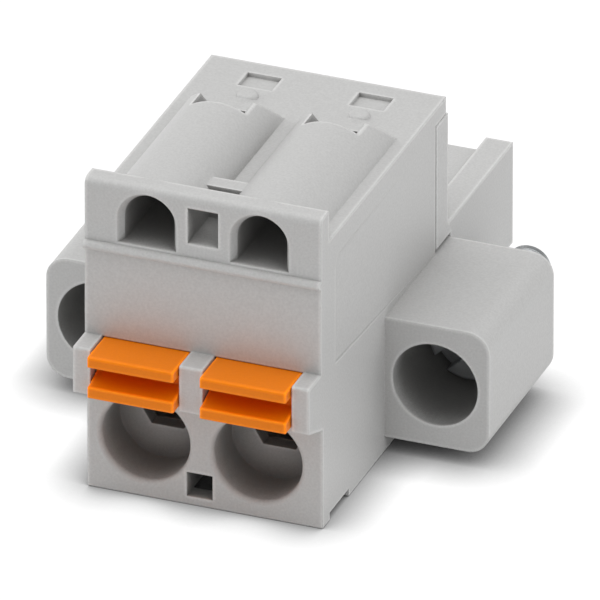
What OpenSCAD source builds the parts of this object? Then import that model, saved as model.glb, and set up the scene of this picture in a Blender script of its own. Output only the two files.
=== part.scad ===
// Two-pole pluggable terminal block with push-in spring clamps, release levers
// and screw flanges. Y runs from the conductor side (-) to the mating side (+),
// Z is up, and the origin is at the middle of the whole part's base.

/* [Poles] */
// Distance between the two poles
pitch = 7.62; // [7.5:0.02:8.4]
// Plastic outside the end poles, on each side
end_wall = 0.39; // [0.3:0.01:1]

/* [Conductor entry] */
// Radius of the round conductor entries
entry_r = 2.99; // [2.7:0.01:3.05]
// Height of the entry axis above the base
entry_z = 4.17; // [4.05:0.01:4.4]
// Sideways offset of the entries from their poles, towards -X
entry_shift = 0.28; // [0:0.02:0.3]
// Depth of the round entry
entry_depth = 3.27; // [2.6:0.01:3.6]
// Radius of the rounded rim of the entries
entry_rim = 0.35; // [0.1:0.05:0.4]
// Width of the inner throat at its top
throat_w = 3.3; // [2.6:0.1:3.8]

/* [Levers] */
// Width of a release lever
lever_w = 5.84; // [5.4:0.02:5.9]
// Height of a lever's head
lever_h = 2.95; // [2.7:0.05:3.1]
// How far a lever's head stands in front of the entry face
lever_reach = 3.25; // [3:0.05:3.8]
// Travel of a lever when it is pressed
lever_travel = 1.75; // [1.2:0.05:2]
// Gap on each side of a lever in its slot
lever_play = 0.095; // [0.05:0.005:0.11]
// Gap below a lever in its slot
lever_lift = 0.15; // [0.1:0.01:0.2]
// Gap above a lever in its slot
lever_gap = 0.05; // [0.04:0.01:0.1]
// Reach of the guide cheeks in front of the entry face
cheek_reach = 2.45; // [2:0.05:2.8]

/* [Front faces] */
// Plastic between the entries and the lever slots
entry_roof = 0.94; // [0.8:0.02:1.2]
// Height of the plain middle face
middle_h = 6.1; // [5.5:0.05:6.5]
// How far the middle face stands in front of the entry face
middle_reach = 0.35; // [0.2:0.05:0.6]
// Height of the bead across the front
bead_h = 0.6; // [0.5:0.05:0.7]
// How far the bead stands in front of the middle face
bead_reach = 0.35; // [0.2:0.05:0.5]
// Rise from the bead to the deck
deck_rise = 2.22; // [2.1:0.01:2.4]
// Rise from the deck to the top of the front panel
crown_rise = 2.16; // [2.1:0.01:2.4]
// Thickness of the upper front panel
panel_t = 1.35; // [1.1:0.05:1.6]

/* [Test tunnels] */
// Radius of the ridge over each test tunnel
ridge_r = 3.6; // [3.45:0.05:3.65]
// Width of a test hole
test_w = 4.01; // [3.7:0.01:4.1]
// How far the mouth of a test hole narrows on each side
mouth_in = 0.32; // [0.2:0.01:0.4]
// Depth of the narrowing mouth
mouth_d = 0.57; // [0.4:0.01:0.7]
// Length of the ridges along their crest, behind the panel
ridge_len = 12.2; // [11.6:0.1:12.6]

/* [Shell] */
// Depth from the entry face to the seam of the rear carrier
shell_depth = 19.96; // [19.8:0.05:22]
// Clear width of a clamp chamber
chamber_w = 6; // [5.9:0.02:6.1]
// Thickness of the floor under the clamp chambers
floor_t = 2.5; // [2.48:0.01:2.6]
// Depth of the moulded outline on each side
outline_d = 0.1; // [0.05:0.01:0.2]

/* [Flanges] */
// Length of a flange along Y
flange_len = 11.65; // [10.5:0.05:12]
// Height of a flange
flange_h = 8.63; // [8.2:0.01:8.8]
// Height of the underside of the flanges above the base
flange_z0 = 1.13; // [0.9:0.01:1.3]
// Plastic beside the flange bore, on its outer side
flange_edge = 0.79; // [0.6:0.01:1.5]
// Radius of a flange's outer corners
flange_corner = 1.5; // [0.8:0.1:1.8]
// Radius of the flange bore
flange_bore_r = 2.9; // [2.85:0.01:3.2]
// Depth of the flange bore
flange_bore_d = 7.79; // [7:0.01:8]
// Height of the screw axis above the base
screw_z = 5.54; // [5.3:0.01:5.7]

/* [Flange screws] */
// Radius of the screw's thread
screw_r = 1.5; // [1.4:0.05:1.6]
// Radius of the screw's neck in the flange
neck_r = 1.2; // [1:0.05:1.25]
// Radius of the screw's head
head_r = 2.65; // [2.4:0.05:2.8]
// Height of the screw's head
head_h = 1.95; // [1.6:0.05:2.4]
// Reach of the screw behind the flange
screw_reach = 5.8; // [4:0.1:8]
// Width of the driver slot
slot_w = 1.2; // [0.8:0.1:1.4]
// Depth of the driver slot
slot_d = 1.1; // [0.7:0.1:1.2]
// Radial running clearance of the screw
screw_play = 0.05; // [0.02:0.01:0.1]

/* [Mating plug] */
// Length of the plug behind the flanges
plug_len = 11.37; // [10:0.01:13]
// Height of the plug's underside above the base
plug_z0 = 3.56; // [3.4:0.02:3.7]
// Height of the plug
plug_h = 7.32; // [6.9:0.02:7.6]
// Thickness of the plug's ribs
rib_t = 1.87; // [1.4:0.01:2]
// How far the end wall stays below the ribs
rib_drop = 0.44; // [0.3:0.01:1.4]
// Height of the pin sockets above the base
socket_z = 6; // [5.95:0.05:6.1]
// Width of the square pin holes
pin_hole = 1.5; // [1.2:0.1:1.8]
// Thickness of the rear carrier's plate
carrier_t = 2.04; // [1.8:0.02:2.3]
// How far the carrier's tabs stand out of the sides
tab_proud = 0.05; // [0:0.01:0.15]

/* [Contacts] */
// Thickness of the current bar
bar_t = 0.8; // [0.6:0.05:0.8]
// Width of the current bar
bar_w = 4.4; // [4:0.1:5]
// Height of the current bar's cage
bar_h = 12.05; // [11.9:0.05:12.2]
// Thickness of the clamp spring
spring_t = 0.5; // [0.35:0.05:0.5]
// Width of the clamp spring
spring_w = 3.8; // [3:0.1:4.2]
// Radius of the clamp spring's loop, to the middle of its sheet
loop_r = 1.5; // [1.4:0.05:1.55]
// Thickness of the socket contact's arms
arm_t = 0.4; // [0.3:0.05:0.4]
// Height of the socket contact's arms
arm_h = 2; // [1.6:0.1:2]
// Thickness of the steel overspring
over_t = 0.2; // [0.15:0.01:0.22]

/* [Hidden] */
fit = 0.05;          // clearance between fixed pieces
seam = 0.1;          // open line between housing and carrier
tab_gap = 0.3;       // open line under the carrier's tabs
over = 1;            // how far a cut runs past a face

pole_x = [-pitch / 2, pitch / 2];
body_w = 2 * pitch + 2 * end_wall;
chamber_edge = pitch / 2 + chamber_w / 2;

// Heights
slot_z0 = entry_z + entry_r + entry_roof;
lever_z0 = slot_z0 + lever_lift;
slot_z1 = lever_z0 + lever_h + lever_gap;
cheek_z1 = slot_z1 + 0.05;
cheek_z0 = lever_z0 - 0.2;
cheek_round = 0.15;
cheek_root_z = entry_z + entry_r;
bead_z0 = cheek_z1 + middle_h;
bead_z1 = bead_z0 + bead_h;
deck_z = bead_z1 + deck_rise;
top_z = deck_z + crown_rise;
sill_z = flange_z0 + flange_h;

// Depths, from the entry face
wall_y = entry_depth + 1.03;
head_back = 0;
slot_y = head_back + lever_travel + 0.1;
cover_y = shell_depth + seam + carrier_t;
deck_y = cover_y - 0.25;
flange_rear = shell_depth + 2.64;
flange_front = flange_rear - flange_len;
seat_y = flange_front + flange_bore_d;
plug_y0 = flange_rear + seam;
plug_y1 = plug_y0 + plug_len;
panel_y0 = -0.3;
panel_y1 = panel_y0 + panel_t;
mid_y = (plug_y1 - lever_reach) / 2;

// Test tunnels and ridges
ridge_z = top_z - ridge_r;
test_z0 = bead_z1 + 0.2;
test_r = test_w / 2;
test_cz = top_z - 0.48 - test_r;
notch_w = 3.56;
notch_y = panel_y1 + ridge_len - 1.05;
ridge_end = notch_y + 1.05 + top_z;
deck_front = ridge_end - deck_z;
probe_w = 2.4;

// Small forms on the deck, behind each ridge
dot_r = 0.7;
dot_top = 0.38;
dot_h = 0.2;
pocket_w = 2.33;
pocket_len = 1.81;
pocket_d = 0.3;
pocket_y = deck_front + 3.22;

// Valley between the ridges
window_w = 2.06;
window_z0 = bead_z1 + 1;
window_z1 = window_z0 + 2.5;
bar_y0 = panel_y1 + 2.4;
bar_y1 = bar_y0 + 1.19;
valley_z = ridge_z + sqrt(pow(ridge_r, 2) - pow(pitch / 2 - 1.22, 2));

// Underside
recess_y0 = 1.2;
recess_y1 = 4.6;
recess_h = 0.6;
port_x0 = -1.25;
port_x1 = 0.51;
port_z0 = 0.62;
port_z1 = floor_t - 0.15;
port_y1 = wall_y - 0.2;

// Clamp
bar_z = floor_t + fit + bar_t / 2;
bar_top = bar_z + bar_h - bar_t;
bar_y = wall_y + 0.3;
socket_base_t = 0.5;
riser_y = shell_depth - socket_base_t - bar_t / 2 - fit;
bar_bend = bar_t;
chamber_z1 = bar_top + bar_t / 2 + 0.4;
loop_back = 4.3;
loop_y = wall_y + loop_back;
loop_z = bar_top - bar_t / 2 - fit - spring_t / 2 - loop_r;
loop_turn = 120;
leg_start = [loop_y - loop_r * sin(loop_turn), loop_z + loop_r * cos(loop_turn)];
leg_end_z = bar_z + bar_t / 2 + 0.2;
leg_slope = -cos(loop_turn) / sin(loop_turn);
leg_end = [leg_start[0] + (leg_start[1] - leg_end_z) * leg_slope, leg_end_z];

// Lever
stem_w = 4.5;
stem_z0 = lever_z0 + 0.2;
stem_z1 = stem_z0 + 1.6;
hook_w = chamber_w - 0.3;
hook_t = 0.9;
nose_gap = spring_t / 2 / sin(loop_turn) + 0.06;
function leg_y(z) = leg_start[0] + (leg_start[1] - z) * leg_slope;

// Sockets in the plug
cavity_w = 4;
cavity_h = 2.8;
end_wall_t = 1.17;
plug_z1 = plug_z0 + plug_h;
arm_x = 1.35;
arm_tip = plug_y1 - end_wall_t - 0.4;
pinch_y = arm_tip - arm_h;
pinch_x = 0.62;
over_back = 3.4;
over_bend = 3.05;
tab_foot = 0.7;
tab_slope = 1.3;
lead_in = 1;
slot_turn = -43;

flange_x = 1.5 * pitch;
flange_out = flange_x + flange_bore_r + flange_edge;
round_fn = 64;

// Points of an arc about c, as [across, up]
function arc(c, r, a0, a1, n = 8) =
    [for (i = [0 : n]) c + r * [cos(a0 + (a1 - a0) * i / n), sin(a0 + (a1 - a0) * i / n)]];

function unit(v) = v / norm(v);

// Corner offset of a bent strip at point i of its path
function side_at(path, i, d) =
    let (a = unit(path[i] - path[max(i - 1, 0)] + (i == 0 ? path[1] - path[0] : [0, 0])),
         b = i == len(path) - 1 ? a : unit(path[i + 1] - path[i]),
         n = unit([-a[1] - b[1], a[0] + b[0]]))
    path[i] + n * d / (n * [-b[1], b[0]]);

// Closed outline of a strip of even thickness t along an open path
function strip(path, t) =
    concat([for (i = [0 : len(path) - 1]) side_at(path, i, t / 2)],
           [for (i = [len(path) - 1 : -1 : 0]) side_at(path, i, -t / 2)]);

// The part's frame has its origin at the middle of the base
module in_frame() {
    translate([0, -mid_y, 0]) children();
}

// Extrudes an outline drawn as [Y, Z] across the width w
module across(w) {
    rotate([90, 0, 90]) linear_extrude(w, center = true) children();
}

// Extrudes an outline drawn as [X, Z] from y0 to y1
module along(y0, y1) {
    translate([0, y1, 0]) rotate([90, 0, 0]) linear_extrude(y1 - y0) children();
}

// A block between two corners
module block(a, b) {
    translate(a) cube(b - a);
}

module at_poles() {
    for (x = pole_x) translate([x, 0, 0]) children();
}

module at_flanges() {
    for (s = [-1, 1]) translate([s * flange_x, 0, 0]) children();
}

// Side view of the housing, with the cheeks and the upper panel
module shell_outline() {
    polygon(concat(
        [[0, 0], [recess_y0, 0], [recess_y0, recess_h], [recess_y1, recess_h], [recess_y1, 0],
         [flange_rear, 0], [flange_rear, sill_z], [shell_depth, sill_z],
         [shell_depth, cover_top() + fit], [deck_y, cover_top() + fit],
         [deck_y, deck_z],
         [panel_y1, deck_z], [panel_y1, top_z]],
        arc([panel_y0 + 0.5, top_z - 0.5], 0.5, 90, 180),
        [[panel_y0, bead_z1]],
        arc([bead_y() + bead_h / 2, bead_z0 + bead_h / 2], bead_h / 2, 90, 270),
        [[-middle_reach, bead_z0], [-middle_reach, cheek_z1]],
        arc([cheek_round - cheek_reach, cheek_z1 - cheek_round], cheek_round, 90, 180, 4),
        [[-cheek_reach, cheek_z0], [0, cheek_root_z]]
    ));
}

function bead_y() = -middle_reach - bead_reach;
function cover_top() = deck_z - 1.27;

// Ridge over a test tunnel, cut off by a slope at its rear end
module ridge() {
    intersection() {
        translate([0, panel_y0 + 0.3, ridge_z]) rotate([-90, 0, 0])
            cylinder(r = ridge_r, h = deck_front, $fn = 128);
        across(2 * ridge_r) polygon([
            [panel_y1 - 0.2, deck_z - 1], [deck_front + 1, deck_z - 1],
            [ridge_end - top_z - 1, top_z + 1], [panel_y1 - 0.2, top_z + 1]
        ]);
    }
}

// Test tunnel, square below and round above, behind a narrowing mouth
module test_tunnel() {
    r = test_r - mouth_in;
    slope = mouth_in / mouth_d;
    intersection() {
        union() {
            translate([0, panel_y0 - over, test_cz]) rotate([-90, 0, 0])
                cylinder(r1 = test_r + over * slope, r2 = r, h = mouth_d + over, $fn = round_fn);
            translate([0, panel_y0, test_z0]) linear_extrude(test_cz - test_z0) polygon([
                [-test_r - over * slope, -over], [test_r + over * slope, -over],
                [r, mouth_d], [-r, mouth_d]
            ]);
            along(panel_y0 + mouth_d - 0.01, deck_front) {
                translate([-r, test_z0]) square([2 * r, test_cz - test_z0]);
                translate([0, test_cz]) circle(r, $fn = round_fn);
            }
        }
        block([-ridge_r, panel_y0 - over, test_z0], [ridge_r, deck_front, top_z]);
    }
    block([-notch_w / 2, notch_y, test_z0], [notch_w / 2, deck_front, top_z + over]);
    block([-probe_w / 2, deck_front - probe_w, bar_top], [probe_w / 2, deck_front, test_z0 + fit]);
}

// Round entry, throat, lever slot and clamp chamber of one pole
module pole_cut() {
    translate([-entry_shift, 0, entry_z]) rotate([-90, 0, 0]) rotate_extrude($fn = 96)
        polygon(concat(
            [[0, -over], [entry_r + entry_rim, -over]],
            arc([entry_r + entry_rim, entry_rim], entry_rim, 270, 180, 5),
            [[entry_r, entry_depth], [0, entry_depth]]));
    along(entry_depth - 0.01, wall_y + 0.01) polygon([
        [-throat_w / 3, bar_z + bar_t / 2 + 0.15], [throat_w / 3, bar_z + bar_t / 2 + 0.15],
        [throat_w / 2, entry_z + 0.22], [throat_w / 2, entry_z + entry_r - 0.8],
        [-throat_w / 2, entry_z + entry_r - 0.8], [-throat_w / 2, entry_z + 0.22]
    ]);
    slot = lever_w + 2 * lever_play;
    block([-slot / 2, -cheek_reach - over, cheek_root_z - over], [slot / 2, 0, slot_z1]);
    block([-slot / 2, -cheek_reach - over, slot_z0], [slot / 2, slot_y, slot_z1]);
    block([-slot / 2, -cheek_reach - over, slot_z1 - 0.01], [slot / 2, -middle_reach, cheek_z1 + over]);
    block([-stem_w / 2 - 0.1, slot_y - 0.01, stem_z0 - 0.1],
          [stem_w / 2 + 0.1, wall_y + 0.01, stem_z1 + 0.1]);
    block([-chamber_w / 2, wall_y, floor_t], [chamber_w / 2, shell_depth + over, chamber_z1]);
}

// Small window and slot in the valley between the ridges
module valley_cut() {
    block([-window_w / 2, panel_y0 - over, window_z0], [window_w / 2, bar_y0, window_z1]);
    block([-window_w / 2, panel_y1, window_z0], [window_w / 2, bar_y0, top_z + over]);
}

// Port low in the front wall, open downwards behind the wall
module port_cut() {
    block([port_x0, -over, port_z0], [port_x1, port_y1, port_z1]);
    block([port_x0, recess_y0, -over], [port_x1, port_y1, port_z1]);
}

// Shallow field on the side of the housing, running out to nothing at its rear end
module side_field() {
    r = 1;
    y0 = 2.2;
    y1 = shell_depth - 2.5;
    z0 = sill_z + 1.15;
    z1 = bead_z1 + 0.5;
    intersection() {
        across(2 * over) polygon(concat(
            [[y0, z0], [y1, sill_z + 0.25], [y1, z1]], arc([y0 + r, z1 - r], r, 90, 180)));
        linear_extrude(top_z) polygon([
            [-outline_d, y0 - over], [0, y1], [over, y1], [over, y0 - over]
        ]);
    }
}

// Solid flange block with rounded outer edges
module flange_block(side) {
    inner = body_w / 2 - over;
    mirror([side < 0 ? 1 : 0, 0, 0]) along(flange_front, flange_rear) {
        translate([inner, flange_z0]) square([flange_out - flange_corner - inner, flange_h]);
        translate([inner, flange_z0 + flange_corner])
            square([flange_out - inner, flange_h - 2 * flange_corner]);
        for (z = [flange_z0 + flange_corner, sill_z - flange_corner])
            translate([flange_out - flange_corner, z]) circle(flange_corner, $fn = 48);
    }
}

module deck_details() {
    at_poles() {
        translate([0, deck_front + dot_r + 1, deck_z - dot_h])
            cylinder(r1 = 2 * dot_r - dot_top, r2 = dot_top, h = 2 * dot_h, $fn = 48);
    }
}

module deck_pockets() {
    at_poles() block([-pocket_w / 2, pocket_y, deck_z - pocket_d],
                     [pocket_w / 2, pocket_y + pocket_len, deck_z + over]);
}

module housing() {
    color("gainsboro") in_frame() difference() {
        union() {
            across(body_w) shell_outline();
            at_poles() ridge();
            block([-1.5, bar_y0, deck_z - 1], [1.5, bar_y1, valley_z]);
            flange_block(1);
            flange_block(-1);
            deck_details();
        }
        at_poles() test_tunnel();
        at_poles() pole_cut();
        valley_cut();
        port_cut();
        deck_pockets();
        for (s = [0, 1]) mirror([s, 0, 0]) translate([body_w / 2, 0, 0]) side_field();
        block([-chamber_edge, shell_depth - 0.01, floor_t],
              [chamber_edge, flange_rear + over, sill_z + over]);
        at_flanges() translate([0, flange_front - over, screw_z]) rotate([-90, 0, 0]) {
            cylinder(r = flange_bore_r, h = flange_bore_d + over, $fn = 96);
            cylinder(r = neck_r + screw_play, h = flange_len + 2 * over, $fn = round_fn);
        }
    }
}

// Rear carrier: closing plate with side tabs, and the plug that holds the sockets
module contact_carrier() {
    front = shell_depth + seam;
    color("lightgray") in_frame() difference() {
        union() {
            across(body_w + 2 * tab_proud) polygon([
                [front, sill_z + tab_gap], [cover_y + tab_foot, sill_z + tab_gap],
                [cover_y, sill_z + tab_gap + tab_slope], [cover_y, cover_top()], [front, cover_top()]
            ]);
            block([-chamber_edge + fit, front, floor_t + fit],
                  [chamber_edge - fit, plug_y0 + fit, sill_z + tab_gap + fit]);
            block([-body_w / 2, plug_y0, plug_z0], [body_w / 2, plug_y1, plug_z1]);
            block([-body_w / 2, cover_y - 0.01, sill_z + tab_gap], [body_w / 2, plug_y0 + 0.01, plug_z1]);
        }
        for (s = [0, 1]) mirror([s, 0, 0]) plug_field();
        at_poles() socket_cavity();
    }
}

// Shallow field between two ribs, with a lead-in slope at its rear end
module plug_field() {
    x0 = rib_t / 2;
    x1 = body_w / 2 - rib_t;
    z = plug_z1 - rib_drop;
    translate([(x0 + x1) / 2, 0, 0]) across(x1 - x0) polygon([
        [cover_y + tab_foot, z], [plug_y1 - lead_in, z], [plug_y1 + over, z - lead_in - over],
        [plug_y1 + over, plug_z1 + over], [cover_y + tab_foot, plug_z1 + over]
    ]);
}

module socket_cavity() {
    half = [cavity_w / 2, cavity_h / 2];
    block([-half[0], shell_depth, socket_z - half[1]],
          [half[0], plug_y1 - end_wall_t, socket_z + half[1]]);
    block([-pin_hole / 2, plug_y1 - end_wall_t - 0.01, socket_z - pin_hole / 2],
          [pin_hole / 2, plug_y1 + over, socket_z + pin_hole / 2]);
}

// Head of a lever with its driver groove, as [Y, Z]
module lever_head_outline() {
    y = -lever_reach;
    polygon([
        [head_back, lever_z0], [y, lever_z0], [y, lever_z0 + 0.79], [y + 0.52, lever_z0 + 0.85],
        [y + 1.65, lever_z0 + 1.21], [y + 1.65, lever_z0 + 2.18], [y, lever_z0 + 2.18],
        [y, lever_z0 + lever_h - 0.1], [y + 0.1, lever_z0 + lever_h],
        [head_back, lever_z0 + lever_h]
    ]);
}

// Release lever: head, stem with a slanted nose, and two retaining hooks
module lever(x) {
    color("darkorange") in_frame() translate([x, 0, 0]) {
        across(lever_w) lever_head_outline();
        across(stem_w) polygon([
            [head_back - 0.5, stem_z0], [leg_y(stem_z0) - nose_gap, stem_z0],
            [leg_y(stem_z1) - nose_gap, stem_z1], [head_back - 0.5, stem_z1]
        ]);
        across(hook_w) polygon([
            [wall_y + fit, stem_z0], [wall_y + fit + hook_t, stem_z0],
            [wall_y + fit + hook_t, stem_z1], [wall_y + fit, stem_z1]
        ]);
    }
}

// Leaf spring: fixed leg under the cage, loop, and the leg that clamps the conductor
module clamp_spring(x) {
    color("silver") in_frame() translate([x, 0, 0]) across(spring_w) polygon(strip(
        concat([[riser_y - 1.1, loop_z + loop_r]],
               arc([loop_y, loop_z], loop_r, 90, 90 + loop_turn, 12), [leg_end]), spring_t));
}

// Bent current bar: lower rail, riser and upper rail
module current_bar(x) {
    b = bar_bend;
    color("tan") in_frame() translate([x, 0, 0]) across(bar_w) polygon(strip(
        concat([[bar_y, bar_z]],
               arc([riser_y - b, bar_z + b], b, -90, 0, 6),
               arc([riser_y - b, bar_top - b], b, 0, 90, 6),
               [[loop_y + 1, bar_top]]), bar_t));
}

// Path of one arm of the socket contact, moved outwards by d, as [X, Y]
function arm_path(d, y0) = [
    [arm_x + d, y0], [arm_x + d, shell_depth + 3], [pinch_x + d, pinch_y],
    [pinch_x + d + 0.3, arm_tip]
];

// Socket contact: base plate on the riser, and two arms that grip the pin
module socket_contact(x) {
    base_y = riser_y + bar_t / 2;
    color("goldenrod") in_frame() translate([x, 0, socket_z]) {
        block([-arm_x - arm_t / 2, base_y, -arm_h / 2],
              [arm_x + arm_t / 2, base_y + socket_base_t, arm_h / 2]);
        for (s = [0, 1]) mirror([s, 0, 0]) translate([0, 0, -arm_h / 2])
            linear_extrude(arm_h) polygon(strip(arm_path(0, base_y + 0.1), arm_t));
    }
}

// Steel overspring that presses the arms together
module overspring(x) {
    d = arm_t / 2 + over_t / 2 + 0.03;
    y0 = shell_depth + over_back;
    top = arm_h / 2 + fit;
    path = [[arm_x + d, y0 - 0.5], [arm_x + d, shell_depth + over_bend], [pinch_x + d, pinch_y]];
    color("slategray") in_frame() translate([x, 0, socket_z]) {
        block([-arm_x - d - over_t / 2, y0 - 0.9, top], [arm_x + d + over_t / 2, y0 + 0.6, top + over_t]);
        for (s = [0, 1]) mirror([s, 0, 0]) translate([0, 0, -0.6])
            linear_extrude(top + over_t + 0.6) polygon(strip(path, over_t));
    }
}

// Slotted flange screw, turned about Y
module flange_screw(s) {
    head_y = seat_y - fit - head_h;
    length = flange_rear + screw_reach - head_y;
    neck_end = flange_rear + 0.15 - head_y;
    color("lightsteelblue") in_frame() translate([s * flange_x, head_y, screw_z])
        rotate([-90, 0, 0]) difference() {
            rotate_extrude($fn = round_fn) polygon([
                [0, 0], [head_r - 0.2, 0], [head_r, 0.2], [head_r, head_h], [neck_r, head_h],
                [neck_r, neck_end], [screw_r, neck_end],
                [screw_r, length - 0.35], [screw_r - 0.35, length], [0, length]
            ]);
            rotate([0, 0, slot_turn]) block([-head_r - over, -slot_w / 2, -over],
                                            [head_r + over, slot_w / 2, slot_d]);
        }
}

module lever_left() { lever(pole_x[0]); }
module lever_right() { lever(pole_x[1]); }
module clamp_spring_left() { clamp_spring(pole_x[0]); }
module clamp_spring_right() { clamp_spring(pole_x[1]); }
module current_bar_left() { current_bar(pole_x[0]); }
module current_bar_right() { current_bar(pole_x[1]); }
module socket_contact_left() { socket_contact(pole_x[0]); }
module socket_contact_right() { socket_contact(pole_x[1]); }
module overspring_left() { overspring(pole_x[0]); }
module overspring_right() { overspring(pole_x[1]); }
module flange_screw_left() { flange_screw(-1); }
module flange_screw_right() { flange_screw(1); }

housing();
contact_carrier();
lever_left();
lever_right();
clamp_spring_left();
clamp_spring_right();
current_bar_left();
current_bar_right();
socket_contact_left();
socket_contact_right();
overspring_left();
overspring_right();
flange_screw_left();
flange_screw_right();
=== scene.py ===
import bpy
import math
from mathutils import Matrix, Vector


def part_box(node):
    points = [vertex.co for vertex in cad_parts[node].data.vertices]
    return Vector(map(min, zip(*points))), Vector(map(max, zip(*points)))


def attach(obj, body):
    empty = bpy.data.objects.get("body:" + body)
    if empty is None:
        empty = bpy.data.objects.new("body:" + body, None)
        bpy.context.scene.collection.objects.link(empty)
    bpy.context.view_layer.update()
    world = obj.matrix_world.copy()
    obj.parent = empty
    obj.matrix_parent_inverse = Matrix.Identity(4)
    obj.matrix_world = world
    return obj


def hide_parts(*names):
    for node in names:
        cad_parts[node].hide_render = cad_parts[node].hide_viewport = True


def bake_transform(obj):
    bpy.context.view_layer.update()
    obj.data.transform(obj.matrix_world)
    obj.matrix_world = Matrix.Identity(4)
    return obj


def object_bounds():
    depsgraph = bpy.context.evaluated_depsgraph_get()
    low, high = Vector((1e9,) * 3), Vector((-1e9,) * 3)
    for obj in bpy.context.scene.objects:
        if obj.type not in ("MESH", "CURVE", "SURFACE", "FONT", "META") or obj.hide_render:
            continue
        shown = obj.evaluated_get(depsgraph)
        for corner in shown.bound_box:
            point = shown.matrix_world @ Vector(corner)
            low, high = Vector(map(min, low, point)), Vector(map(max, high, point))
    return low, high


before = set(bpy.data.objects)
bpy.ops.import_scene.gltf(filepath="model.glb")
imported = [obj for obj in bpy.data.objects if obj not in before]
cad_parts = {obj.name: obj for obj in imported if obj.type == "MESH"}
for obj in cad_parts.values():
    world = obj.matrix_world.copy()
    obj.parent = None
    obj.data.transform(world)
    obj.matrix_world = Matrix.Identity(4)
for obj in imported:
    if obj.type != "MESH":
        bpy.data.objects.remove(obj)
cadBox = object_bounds()
mm = 0.001
print("frame loaded:", len(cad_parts), "nodes")


# selection and small mesh tools

def deselectAll():
    if bpy.context.object and bpy.context.object.mode != "OBJECT":
        bpy.ops.object.mode_set(mode="OBJECT")
    bpy.ops.object.select_all(action="DESELECT")


def pickOnly(obj):
    deselectAll()
    obj.select_set(True)
    bpy.context.view_layer.objects.active = obj


def startEdit(obj):  # edit mode with the whole mesh selected
    pickOnly(obj)
    bpy.ops.object.mode_set(mode="EDIT")
    bpy.ops.mesh.select_all(action="SELECT")


def endEdit():
    bpy.ops.object.mode_set(mode="OBJECT")


def applyPlace(obj):  # the piece's place goes into its mesh
    pickOnly(obj)
    bpy.ops.object.transform_apply(location=True, rotation=True, scale=True)


def duplicateOf(obj, name):
    pickOnly(obj)
    bpy.ops.object.duplicate()
    twin = bpy.context.object
    twin.name = name
    twin.data.name = name
    return twin


def applyModifiers(obj):
    pickOnly(obj)
    for modifier in list(obj.modifiers):
        bpy.ops.object.modifier_apply(modifier=modifier.name)


def addModifier(obj, kind, name, **values):
    modifier = obj.modifiers.new(name, kind)
    for key, value in values.items():
        setattr(modifier, key, value)
    return modifier


def smoothByAngle(obj, degrees):
    pickOnly(obj)
    bpy.ops.object.shade_smooth_by_angle(angle=math.radians(degrees))


def bevelSome(obj, chosen, width, steps, clamp):  # rounds the edges that chosen(mesh, edge) picks
    startEdit(obj)
    bpy.ops.mesh.select_mode(type="EDGE")
    bpy.ops.mesh.select_all(action="DESELECT")
    endEdit()
    for edge in obj.data.edges:
        edge.select = chosen(obj.data, edge)
    bpy.ops.object.mode_set(mode="EDIT")
    bpy.ops.mesh.bevel(offset=width, segments=steps, profile=0.5, clamp_overlap=clamp)
    bpy.ops.mesh.select_mode(type="VERT")
    endEdit()


# shader parts

noiseSpan = (0.3, 0.7)  # most of a noise's values lie between these
raySamples = {"rounding": 6, "edgeMask": 4, "inside": 8, "hollow": 8, "floor": 16}


def freshMaterial(name):
    material = bpy.data.materials.new(name)
    material.use_nodes = True
    return material, material.node_tree.nodes, material.node_tree.links


def addMath(nodes, links, operation, *values):  # each value is a number or a node's output
    node = nodes.new("ShaderNodeMath")
    node.operation = operation
    for socket, value in zip(node.inputs, values):
        if isinstance(value, (int, float)):
            socket.default_value = value
        else:
            links.new(value, socket)
    return node.outputs[0]


def addNoise(nodes, links, coords, scale, detail):
    noise = nodes.new("ShaderNodeTexNoise")
    noise.inputs["Scale"].default_value = scale
    noise.inputs["Detail"].default_value = detail
    links.new(coords, noise.inputs["Vector"])
    return noise.outputs["Fac"]


def addTint(nodes, links, noise, darker, lighter):  # noise to a narrow range of colours
    ramp = nodes.new("ShaderNodeValToRGB")
    for element, position, colour in zip(ramp.color_ramp.elements, noiseSpan, (darker, lighter)):
        element.position = position
        element.color = (*colour, 1)
    links.new(noise, ramp.inputs["Fac"])
    return ramp.outputs["Color"]


def addRange(nodes, links, source, fromSpan, toSpan):
    span = nodes.new("ShaderNodeMapRange")
    for key, value in zip(("From Min", "From Max", "To Min", "To Max"), (*fromSpan, *toSpan)):
        span.inputs[key].default_value = value
    links.new(source, span.inputs["Value"])
    return span.outputs["Result"]


def addSoftNormal(nodes, radius, samples):  # normal of the surface with its edges rounded
    soft = nodes.new("ShaderNodeBevel")
    soft.samples = samples
    soft.inputs["Radius"].default_value = radius
    return soft.outputs["Normal"]


def addOcclusion(nodes, reach, samples, inside=False, onlyLocal=True):
    occlusion = nodes.new("ShaderNodeAmbientOcclusion")
    occlusion.samples = samples
    occlusion.inside = inside
    occlusion.only_local = onlyLocal
    occlusion.inputs["Distance"].default_value = reach
    return occlusion


def addVectorMath(nodes, links, operation, vector, value, socket):
    node = nodes.new("ShaderNodeVectorMath")
    node.operation = operation
    links.new(vector, node.inputs[0])
    links.new(value, node.inputs[socket])
    return node.outputs["Vector"]


def addBump(nodes, links, height, look):  # grain over softly rounded edges
    bump = nodes.new("ShaderNodeBump")
    softened = addSoftNormal(nodes, look["rounding"], raySamples["rounding"])
    links.new(softened, bump.inputs["Normal"])
    bump.inputs["Distance"].default_value = look["grainDepth"]
    bump.inputs["Strength"].default_value = look["grainStrength"]
    links.new(height, bump.inputs["Height"])
    return bump.outputs["Normal"]


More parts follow.
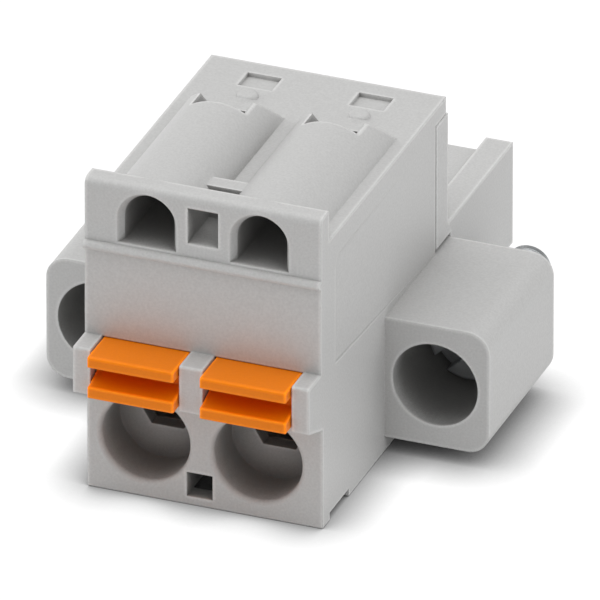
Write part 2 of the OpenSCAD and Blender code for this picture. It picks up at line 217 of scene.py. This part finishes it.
def addPaintedEdgeHighlight(nodes, links, colour, look):  # painted highlight: edges that don't face down are painted paler
    inside = addOcclusion(nodes, look["edgeHighlightReach"], raySamples["inside"], inside=True)
    facing = nodes.new("ShaderNodeSeparateXYZ")
    links.new(addSoftNormal(nodes, look["rounding"], raySamples["edgeMask"]), facing.inputs[0])
    mask = addRange(nodes, links, facing.outputs["Z"], look["edgeHighlightTurn"], (0, look["edgeHighlight"]))
    thin = addMath(nodes, links, "SUBTRACT", 1, inside.outputs["AO"])
    capped = addMath(nodes, links, "MINIMUM", thin, look["edgeHighlightCap"])
    gain = addMath(nodes, links, "MULTIPLY_ADD", capped, mask, 1)
    return addVectorMath(nodes, links, "SCALE", colour, gain, "Scale")


def addHollowShade(nodes, links, colour, look):  # painted shade: plastic is painted darker and warmer in its own holes
    hollow = addOcclusion(nodes, look["hollowShadeReach"], raySamples["hollow"])
    ramp = nodes.new("ShaderNodeValToRGB")
    steps = look["hollowShadeSteps"]
    for step in steps[1:-1]:
        ramp.color_ramp.elements.new(step[0])
    for element, (position, tint) in zip(ramp.color_ramp.elements, steps):
        element.position = position
        element.color = (*tint, 1)
    links.new(hollow.outputs["AO"], ramp.inputs["Fac"])
    return addVectorMath(nodes, links, "MULTIPLY", colour, ramp.outputs["Color"], 1)


def mouldedPlastic(name, look):
    material, nodes, links = freshMaterial(name)
    shader = nodes["Principled BSDF"]
    coords = nodes.new("ShaderNodeTexCoord").outputs["Object"]
    speck = addNoise(nodes, links, coords, look["speckScale"], look["speckDetail"])
    grain = addNoise(nodes, links, coords, look["grainScale"], look["grainDetail"])
    tint = addTint(nodes, links, speck, look["darker"], look["lighter"])
    highlighted = addPaintedEdgeHighlight(nodes, links, tint, look)
    shaded = addHollowShade(nodes, links, highlighted, look)
    links.new(shaded, shader.inputs["Base Color"])
    rough = addRange(nodes, links, grain, noiseSpan, look["roughness"])
    links.new(rough, shader.inputs["Roughness"])
    links.new(addBump(nodes, links, grain, look), shader.inputs["Normal"])
    shader.inputs["IOR"].default_value = look["ior"]
    shader.inputs["Specular IOR Level"].default_value = look["specular"]
    shader.inputs["Emission Color"].default_value = (1, 1, 1, 1)
    shader.inputs["Emission Strength"].default_value = look["paintedGlow"]  # painted glow, standing in for light through thin walls
    return material


def rolledMetal(name, look):  # metal with a dull film
    material, nodes, links = freshMaterial(name)
    shader = nodes["Principled BSDF"]
    coords = nodes.new("ShaderNodeTexCoord").outputs["Object"]
    stretch = nodes.new("ShaderNodeMapping")
    stretch.inputs["Scale"].default_value = look["grainStretch"]
    links.new(coords, stretch.inputs["Vector"])
    stretched = stretch.outputs["Vector"]
    grain = addNoise(nodes, links, stretched, look["grainScale"], look["grainDetail"])
    cloud = addNoise(nodes, links, coords, look["cloudScale"], look["cloudDetail"])
    tint = addTint(nodes, links, cloud, look["darker"], look["lighter"])
    links.new(tint, shader.inputs["Base Color"])
    rough = addRange(nodes, links, grain, noiseSpan, look["roughness"])
    links.new(rough, shader.inputs["Roughness"])
    links.new(addBump(nodes, links, grain, look), shader.inputs["Normal"])
    shader.inputs["Metallic"].default_value = look["metallic"]
    return material


# plastics: the colour varies between darker and lighter, painted shade darkens and tints it by how
# open the surface is, from a deep hole to a free face, and a painted highlight lifts it on edges

plasticLook = {
    "speckScale": 6500, "speckDetail": 3, "grainDetail": 4, "grainDepth": 0.01 * mm,
    "ior": 1.5, "rounding": 0.16 * mm, "edgeHighlightTurn": (-0.2, -0.02),
}
greyLook = plasticLook | {
    "darker": (0.566, 0.564, 0.558), "lighter": (0.632, 0.631, 0.624),
    "grainScale": 5200, "grainStrength": 0.35, "roughness": (0.44, 0.54), "specular": 0.5,
    "hollowShadeReach": 8 * mm, "hollowShadeSteps": (
        (0, (0.5, 0.495, 0.49)), (0.2, (0.4, 0.395, 0.39)), (0.35, (0.4, 0.395, 0.39)),
        (0.4, (0.6, 0.595, 0.59)), (0.46, (0.84, 0.835, 0.83)), (0.6, (0.91, 0.91, 0.91)),
        (0.85, (0.98, 0.98, 0.98)), (1, (1, 1, 1))),
    "edgeHighlightReach": 0.26 * mm, "edgeHighlight": 0.75, "edgeHighlightCap": 0.42, "paintedGlow": 0.003,
}
orangeLook = plasticLook | {
    "darker": (0.93, 0.226, 0.002), "lighter": (0.97, 0.244, 0.003),
    "grainScale": 6000, "grainStrength": 0.3, "roughness": (0.28, 0.36), "specular": 0.2,
    "hollowShadeReach": 4 * mm, "hollowShadeSteps": (
        (0, (0.7, 0.44, 0.3)), (0.5, (0.95, 0.82, 0.6)), (1, (1, 1, 1))),
    "edgeHighlightReach": 0.2 * mm, "edgeHighlight": 2.2, "edgeHighlightCap": 0.6, "paintedGlow": 0,
}
greyPlastic = mouldedPlastic("lightGreyPlastic", greyLook)
domePlastic = mouldedPlastic("lightGreyDome", greyLook | {"rounding": 0.02 * mm, "edgeHighlight": 0})
orangePlastic = mouldedPlastic("orangePlastic", orangeLook)

# metals: the grain of rolled strip is drawn out along Y, and that of plated screws isn't

metalFilm = {"cloudDetail": 2, "grainDetail": 5, "grainDepth": 0.01 * mm}
springSteel = rolledMetal("springSteel", metalFilm | {
    "darker": (0.52, 0.52, 0.53), "lighter": (0.62, 0.62, 0.62),
    "cloudScale": 500, "grainScale": 3000, "grainStretch": (1, 0.08, 1), "grainStrength": 0.3,
    "roughness": (0.26, 0.4), "rounding": 0.05 * mm, "metallic": 1,
})
tinPlate = rolledMetal("tinPlatedCopper", metalFilm | {
    "darker": (0.62, 0.60, 0.56), "lighter": (0.72, 0.70, 0.67),
    "cloudScale": 700, "grainScale": 2600, "grainStretch": (1, 0.2, 1), "grainStrength": 0.25,
    "roughness": (0.3, 0.45), "rounding": 0.05 * mm, "metallic": 1,
})
zincPlate = rolledMetal("zincPlatedSteel", metalFilm | {
    "darker": (0.58, 0.60, 0.61), "lighter": (0.62, 0.64, 0.65),
    "cloudScale": 900, "grainScale": 4200, "grainStretch": (1, 1, 1), "grainStrength": 0.05,
    "roughness": (0.3, 0.36), "rounding": 0.06 * mm, "metallic": 0.7,
})
print("materials made")


# dressed copies of the CAD nodes, with their edges rounded as moulded or stamped

meshCare = {"mergeWithin": 0.002 * mm, "flatAngle": 0.6, "flatWeight": 100}  # angles in degrees


def copyOfNode(nodeName, pieceName):
    piece = duplicateOf(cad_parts[nodeName], pieceName)
    piece.parent = None
    piece.matrix_world.identity()
    piece.data.materials.clear()
    startEdit(piece)
    bpy.ops.mesh.remove_doubles(threshold=meshCare["mergeWithin"])
    bpy.ops.mesh.dissolve_limited(angle_limit=math.radians(meshCare["flatAngle"]))
    endEdit()
    return piece


def roundEdges(piece, look):
    addModifier(piece, "BEVEL", "edges", width=look["edge"], segments=look["segments"],
                limit_method="ANGLE", angle_limit=math.radians(look["fromAngle"]),
                use_clamp_overlap=True, miter_outer="MITER_ARC", harden_normals=False)
    applyModifiers(piece)
    smoothByAngle(piece, look["smoothAngle"])
    addModifier(piece, "WEIGHTED_NORMAL", "flatFaces", weight=meshCare["flatWeight"],
                keep_sharp=True)
    applyModifiers(piece)


def roundFoot(piece, look):  # wider rounding of the square edges that stand on the floor
    normals = {}
    for face in piece.data.polygons:
        for key in face.edge_keys:
            normals.setdefault(key, []).append(face.normal.copy())

    def standsSquare(mesh, edge):
        low = all(mesh.vertices[corner].co.z < look["footBelow"] for corner in edge.vertices)
        sides = normals[edge.key]
        return low and len(sides) == 2 and abs(sides[0].dot(sides[1])) < look["footSquare"]

    bevelSome(piece, standsSquare, look["foot"], look["footSteps"], clamp=True)


def dress(nodeName, look):
    piece = copyOfNode(nodeName, look["name"])
    if "foot" in look:
        roundFoot(piece, look)
    roundEdges(piece, look)
    piece.data.materials.append(look["material"])
    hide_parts(nodeName)
    return piece


shellLook = {
    "slot": "housing_plastic", "material": greyPlastic,
    "segments": 2, "fromAngle": 24, "smoothAngle": 24,
}
housingLook = shellLook | {
    "name": "housingShell", "edge": 0.12 * mm,
    "foot": 0.12 * mm, "footSteps": 4, "footBelow": 0.01 * mm, "footSquare": 0.3,
}
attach(dress("housing", housingLook), "housing")
print("housing dressed")

carrierLook = shellLook | {"name": "carrierShell", "edge": 0.1 * mm}
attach(dress("contact_carrier", carrierLook), "housing")
print("carrier dressed")

domeLook = {
    "slot": "housing_plastic", "material": domePlastic,
    "poleSpacing": 7.62 * mm, "along": 1.95 * mm, "deck": 20.22 * mm,
    "radius": 0.72 * mm, "rise": 0.28 * mm, "sunk": 0.04 * mm,
    "corners": 40, "rounding": 0.27 * mm, "steps": 8, "smoothAngle": 40,
}


def makeDeckDome(name, look):  # low round bump over the left pole's dot on the deck
    deselectAll()
    bpy.ops.mesh.primitive_cylinder_add(
        vertices=look["corners"], radius=look["radius"], depth=look["rise"] + look["sunk"],
        location=(-look["poleSpacing"] / 2, look["along"],
                  look["deck"] + (look["rise"] - look["sunk"]) / 2))
    dome = bpy.context.object
    dome.name = name
    applyPlace(dome)

    def aboveDeck(mesh, edge):
        return all(mesh.vertices[corner].co.z > look["deck"] for corner in edge.vertices)

    bevelSome(dome, aboveDeck, look["rounding"], look["steps"], clamp=False)
    smoothByAngle(dome, look["smoothAngle"])
    return dome


leftDome = makeDeckDome("deckDomeLeft", domeLook)
rightDome = duplicateOf(leftDome, "deckDomeRight")
rightDome.location.x = domeLook["poleSpacing"]
applyPlace(rightDome)
for dome in (leftDome, rightDome):
    dome.data.materials.append(domeLook["material"])
    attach(dome, "housing")
print("deck domes made")

leverLook = {
    "slot": "lever_plastic", "material": orangePlastic,
    "edge": 0.1 * mm, "segments": 2, "fromAngle": 24, "smoothAngle": 24,
}
for side in ("left", "right"):
    lever = dress("lever_" + side, leverLook | {"name": "lever" + side.title()})
    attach(lever, "lever_" + side)
print("levers dressed")

metalLook = {"edge": 0.05 * mm, "segments": 2, "fromAngle": 40, "smoothAngle": 40}
tinLook = metalLook | {"slot": "tinned_copper", "material": tinPlate}
steelLook = metalLook | {"slot": "spring_steel", "material": springSteel}
for side in ("left", "right"):
    for node, name, look in (("current_bar_", "currentBar", tinLook),
                             ("socket_contact_", "socketContact", tinLook),
                             ("overspring_", "overspring", steelLook)):
        metal = dress(node + side, look | {"name": name + side.title()})
        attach(metal, "housing")
print("current bars, sockets and oversprings dressed")

clampBend = {"top": 11.8 * mm, "foot": 10 * mm, "cuts": 9}  # the leg is cut into bands between these heights


def bendWithLever(piece, bend):  # cuts the clamping leg into bands across its height; it is not bent here
    drop = (bend["top"] - bend["foot"]) / bend["cuts"]
    startEdit(piece)
    for cut in range(bend["cuts"] + 1):
        bpy.ops.mesh.select_all(action="SELECT")
        bpy.ops.mesh.bisect(plane_co=(0, 0, bend["top"] - cut * drop), plane_no=(0, 0, 1))
    endEdit()
    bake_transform(piece)


for side in ("left", "right"):
    clamp = dress("clamp_spring_" + side, steelLook | {"name": "clampSpring" + side.title()})
    bendWithLever(clamp, clampBend)
print("clamp springs dressed")

threadLook = {
    "pitch": 0.5 * mm, "crest": 1.5 * mm, "root": 1.2 * mm,
    "clear": 0.1 * mm, "mouth": 0.88,  # reach past the crest, and the groove's share of the pitch
    "length": 5.4 * mm, "turns": 12, "steps": 32,
}


def makeGroove(look):  # helical cutter with a three-cornered section and its axis along Y
    # a circle with three corners and radius 1 is 1.5 tall and sqrt(3) wide
    tall = (look["crest"] + look["clear"] - look["root"]) / 1.5
    wide = look["mouth"] * look["pitch"] / math.sqrt(3)
    deselectAll()
    bpy.ops.mesh.primitive_circle_add(
        vertices=3, radius=1, fill_type="NGON", location=(look["root"] + tall, 0, 0),
        rotation=(-math.pi / 2, math.pi / 2, 0))
    groove = bpy.context.object
    groove.name = "threadGroove"
    groove.scale = (wide, tall, 1)
    applyPlace(groove)
    addModifier(groove, "SCREW", "turns", axis="Z", angle=math.tau, screw_offset=look["pitch"],
                iterations=look["turns"], steps=look["steps"], render_steps=look["steps"])
    applyModifiers(groove)
    startEdit(groove)
    bpy.ops.mesh.normals_make_consistent(inside=False)
    endEdit()
    groove.rotation_euler = (-math.pi / 2, 0, 0)
    applyPlace(groove)
    return groove


def cutThread(screw, nodeName, groove, look):  # groove cut into the plain shank, up to its tip
    lowest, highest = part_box(nodeName)
    axis = (lowest + highest) / 2
    cutter = duplicateOf(groove, "threadCutter")
    cutter.location = (axis.x, highest.y - look["length"], axis.z)
    applyPlace(cutter)
    addModifier(screw, "BOOLEAN", "thread", operation="DIFFERENCE", solver="EXACT", object=cutter)
    applyModifiers(screw)
    bpy.data.objects.remove(cutter)


screwLook = {
    "slot": "screw_steel", "material": zincPlate,
    "edge": 0.06 * mm, "segments": 2, "fromAngle": 40, "smoothAngle": 35,
}
groove = makeGroove(threadLook)
for side in ("left", "right"):
    nodeName = "flange_screw_" + side
    screw = dress(nodeName, screwLook | {"name": "flangeScrew" + side.title()})
    cutThread(screw, nodeName, groove, threadLook)
    smoothByAngle(screw, screwLook["smoothAngle"])
    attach(screw, "screw_" + side)
bpy.data.objects.remove(groove)
print("screws dressed")


# floor, light and camera

def addRayPick(nodes, links, rays, usual, shown):  # shown to those rays, usual to all others
    path = nodes.new("ShaderNodeLightPath")
    seen = addMath(nodes, links, "MAXIMUM", *(path.outputs[ray] for ray in rays))
    pick = nodes.new("ShaderNodeMixShader")
    for socket, source in zip(pick.inputs, (seen, usual, shown)):
        links.new(source, socket)
    return pick.outputs[0]


floorLook = {
    "size": 1.2, "albedo": 0.9, "roughness": 0.9, "white": 1.08,
    "shadeReach": 3.8 * mm, "shadePower": 1.7, "shadeTilt": (0.1, 0, 1),
}


def floorMaterial(look):  # pale to the object, white with a close soft painted shadow to the camera
    material, nodes, links = freshMaterial("paleFloor")
    shader = nodes["Principled BSDF"]
    shader.inputs["Base Color"].default_value = (look["albedo"],) * 3 + (1,)
    shader.inputs["Roughness"].default_value = look["roughness"]
    shader.inputs["Specular IOR Level"].default_value = 0
    tilt = nodes.new("ShaderNodeCombineXYZ")
    for socket, value in zip(tilt.inputs, look["shadeTilt"]):
        socket.default_value = value
    # painted shadow: occlusion near the object darkens the floor's white, leaned towards +X
    shade = addOcclusion(nodes, look["shadeReach"], raySamples["floor"], onlyLocal=False)
    links.new(tilt.outputs[0], shade.inputs["Normal"])
    curve = addMath(nodes, links, "POWER", shade.outputs["AO"], look["shadePower"])
    paintedGlow = nodes.new("ShaderNodeEmission")
    links.new(addMath(nodes, links, "MULTIPLY", curve, look["white"]), paintedGlow.inputs["Strength"])
    surface = addRayPick(nodes, links, ("Is Camera Ray", "Is Glossy Ray"),
                         shader.outputs[0], paintedGlow.outputs[0])
    links.new(surface, nodes["Material Output"].inputs["Surface"])
    return material


deselectAll()
bpy.ops.mesh.primitive_plane_add(size=floorLook["size"], location=(0, 0, cadBox[0].z))
floor = bpy.context.object
floor.name = "paleFloor"
applyPlace(floor)
floor.data.materials.append(floorMaterial(floorLook))

skyLook = {
    "spread": 4,  # the higher, the smaller a panel looks
    "panels": (  # direction towards the panel, and its brightness
        ((-1, 0, 0.1), 1.9),
        ((1, 0, 0.33), 1.06),
        ((0, -1, 0.1), 0.12),
        ((0, 0, 1), 2.0),
    ),
    "mirrored": ((-0.3, 0.82, 0.5), 0.4),  # seen only in shiny surfaces
}


def addPanel(nodes, links, coords, panel, spread):  # a soft patch of light in the sky
    towards, strength = panel
    facing = nodes.new("ShaderNodeVectorMath")
    facing.operation = "DOT_PRODUCT"
    facing.inputs[1].default_value = Vector(towards).normalized()
    links.new(coords, facing.inputs[0])
    front = addMath(nodes, links, "MAXIMUM", facing.outputs["Value"], 0)
    falloff = addMath(nodes, links, "POWER", front, spread)
    return addMath(nodes, links, "MULTIPLY", falloff, strength)


def softSky(look):  # light tent with strong left and top panels, a weaker right and a faint front
    world = bpy.data.worlds.new("softTent")
    world.use_nodes = True
    bpy.context.scene.world = world
    nodes = world.node_tree.nodes
    links = world.node_tree.links
    coords = nodes.new("ShaderNodeTexCoord").outputs["Generated"]
    light = 0
    for panel in look["panels"]:
        light = addMath(nodes, links, "ADD", light,
                        addPanel(nodes, links, coords, panel, look["spread"]))
    glossy = nodes.new("ShaderNodeLightPath").outputs["Is Glossy Ray"]
    mirrored = addPanel(nodes, links, coords, look["mirrored"], look["spread"])
    strength = addMath(nodes, links, "MULTIPLY_ADD", mirrored, glossy, light)
    tent = nodes["Background"]
    tent.inputs["Color"].default_value = (1, 1, 1, 1)
    links.new(strength, tent.inputs["Strength"])
    pale = nodes.new("ShaderNodeBackground")  # backdrop beyond the floor
    surface = addRayPick(nodes, links, ("Is Camera Ray", "Is Transmission Ray"),
                         tent.outputs[0], pale.outputs[0])
    links.new(surface, nodes["World Output"].inputs["Surface"])


softSky(skyLook)

cameraLook = {
    "azimuth": 21.05, "elevation": 28.39, "lens": 1600, "sensor": 36, "clip": (0.1, 10),
    "frameWidth": 38.27 * mm, "aim": (0.56 * mm, -0.1 * mm, 7.366 * mm),
}


def addCamera(look):
    azimuth = math.radians(look["azimuth"])
    elevation = math.radians(look["elevation"])
    back = Vector((math.sin(azimuth) * math.cos(elevation),
                   -math.cos(azimuth) * math.cos(elevation), math.sin(elevation)))
    distance = look["frameWidth"] * look["lens"] / look["sensor"]
    deselectAll()
    bpy.ops.object.camera_add(location=Vector(look["aim"]) + back * distance)
    camera = bpy.context.object
    camera.rotation_mode = "QUATERNION"
    camera.rotation_quaternion = (-back).to_track_quat("-Z", "Y")
    camera.data.lens = look["lens"]
    camera.data.sensor_width = look["sensor"]
    camera.data.clip_start, camera.data.clip_end = look["clip"]
    bpy.context.scene.camera = camera


addCamera(cameraLook)
bpy.context.scene.view_settings.view_transform = "Standard"
print("floor, light and camera set")
